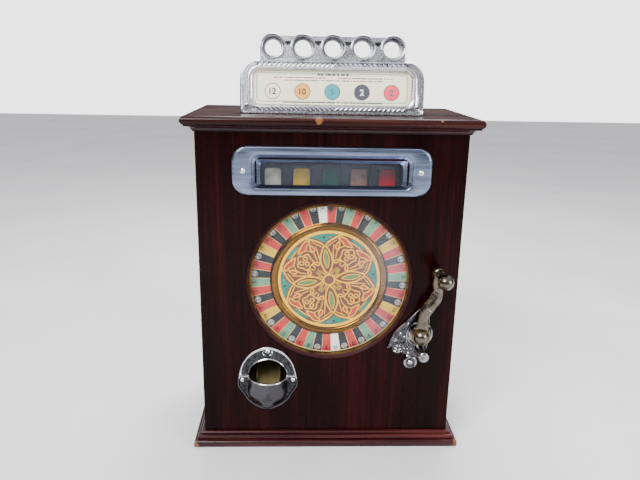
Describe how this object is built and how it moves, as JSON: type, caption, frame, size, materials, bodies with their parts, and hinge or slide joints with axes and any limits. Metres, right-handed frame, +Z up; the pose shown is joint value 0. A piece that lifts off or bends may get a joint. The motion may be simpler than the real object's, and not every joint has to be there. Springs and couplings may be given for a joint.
{
  "type": "countertop colour wheel coin machine",
  "caption": "Wooden countertop coin machine: coin rings over a sign, a colour-plate window, a spinning colour wheel behind glass, a pull-down handle and a payout cup.",
  "frame": {"origin": "middle of the underside of the base, base moulding included, at table level", "axes": "+Z up, front faces -Y, +X to the right seen from the front; metres"},
  "size_m": [0.424, 0.2865, 0.6341],
  "materials": {
    "case_wood": "polished dark red mahogany",
    "moulding_wood": "worn polished mahogany",
    "inner_wood": "plain oiled softwood",
    "bezel_metal": "polished, brushed lengthways",
    "nickel": "bright nickel plate, slightly worn",
    "dark_nickel": "nickel plate darkened in the hollows",
    "worn_nickel": "nickel plate worn and browned by hands",
    "steel": "plain mechanism steel",
    "brass": "lacquered brass",
    "glass": "clear, thinly dusty",
    "black_tin": "japanned black sheet",
    "wheel_paint": "enamelled segments in black, red, green, yellow and white",
    "rosette_paint": "enamelled rosette in red, teal and green",
    "flag_paint": "enamelled colour plates",
    "card": "printed cream card"
  },
  "bodies": {
    "cabinet": {"base_board": "inner_wood", "base_moulding": "moulding_wood", "side_panel_left": "case_wood", "side_panel_right": "case_wood", "front_panel": "case_wood", "top_cap": "moulding_wood", "crown_moulding": "moulding_wood", "back_rail": "case_wood", "hinge_fixed_leaves": "brass", "hinge_pins": "steel", "lock_keeper": "steel", "window_frame": "bezel_metal", "window_glass": "glass", "window_bead": "inner_wood", "colour_plates": "flag_paint", "coin_chutes": "black_tin", "coin_ramp": "steel", "wheel_glass": "glass", "glass_ring": "brass", "glass_clips": "steel", "wheel_pointer": "black_tin", "mech_plate_front": "steel", "mech_plate_rear": "steel", "mech_posts": "steel", "axle_bushes": "brass", "handle_plate": "nickel", "front_screws": "nickel", "handle_bush": "brass", "return_spring": "steel", "coin_tube": "brass", "payout_chute": "brass", "payout_cup": "dark_nickel", "cash_box": "inner_wood", "coin_head_sign": "nickel", "coin_ring_bar": "nickel", "sign_glass": "glass", "sign_card": "card", "sign_cover": "steel"},
    "wheel": {"wheel_disc": "inner_wood", "segment_ring": "wheel_paint", "brass_bead": "brass", "rosette_disc": "rosette_paint", "rosette_fretwork": "brass", "rosette_screws": "steel", "wheel_hub": "steel", "wheel_axle": "steel", "stop_star": "steel"},
    "drive": {"drive_gear": "brass"},
    "clutch": {"clutch_pawl": "steel"},
    "stop": {"stop_pawl": "steel"},
    "handle": {"handle_lever": "worn_nickel", "handle_ball": "nickel", "handle_shaft": "steel", "gear_sector": "brass", "payout_pinion": "brass"},
    "slide": {"payout_slide": "steel"},
    "door": {"back_door": "case_wood", "hinge_door_leaves": "brass", "lock_barrel": "brass"},
    "cam": {"lock_cam": "steel"}
  },
  "joints": [
    {"name": "handle_pull", "type": "hinge", "parent": "cabinet", "child": "handle", "pos_m": [0.14, -0.0565, 0.19604], "axis": [0, 1, 0], "range_deg": [0, 55], "stiffness_Nm_per_rad": 0.3, "springref_deg": -17.19},
    {"name": "drive_turn", "type": "hinge", "parent": "cabinet", "child": "drive", "pos_m": [0, -0.0535, 0.2735], "axis": [0, 1, 0], "range_deg": [-122, 0]},
    {"name": "payout_push", "type": "slide", "parent": "cabinet", "child": "slide", "axis": [1, 0, 0], "range_m": [-0.0235, 0]},
    {"name": "wheel_spin", "type": "hinge", "parent": "cabinet", "child": "wheel", "pos_m": [0, -0.0795, 0.2735], "axis": [0, 1, 0], "continuous": true},
    {"name": "clutch_lift", "type": "hinge", "parent": "drive", "child": "clutch", "pos_m": [0.018, -0.0595, 0.30468], "axis": [0, 1, 0], "range_deg": [0, 12], "stiffness_Nm_per_rad": 0.02, "springref_deg": -11.46},
    {"name": "stop_lift", "type": "hinge", "parent": "cabinet", "child": "stop", "pos_m": [-0.05745, -0.063, 0.32171], "axis": [0, -1, 0], "range_deg": [0, 10]},
    {"name": "door_swing", "type": "hinge", "parent": "cabinet", "child": "door", "pos_m": [-0.1787, 0.1175, 0.256], "axis": [0, 0, 1], "range_deg": [0, 110]},
    {"name": "lock_turn", "type": "hinge", "parent": "door", "child": "cam", "pos_m": [0.1524, 0.0927, 0.256], "axis": [0, 1, 0], "range_deg": [0, 90]}
  ],
  "couplings": [
    {"joint": "drive_turn", "follows": "handle_pull", "ratio": -2.2},
    {"joint": "payout_push", "follows": "handle_pull", "m_per_rad": -0.024}
  ]
}
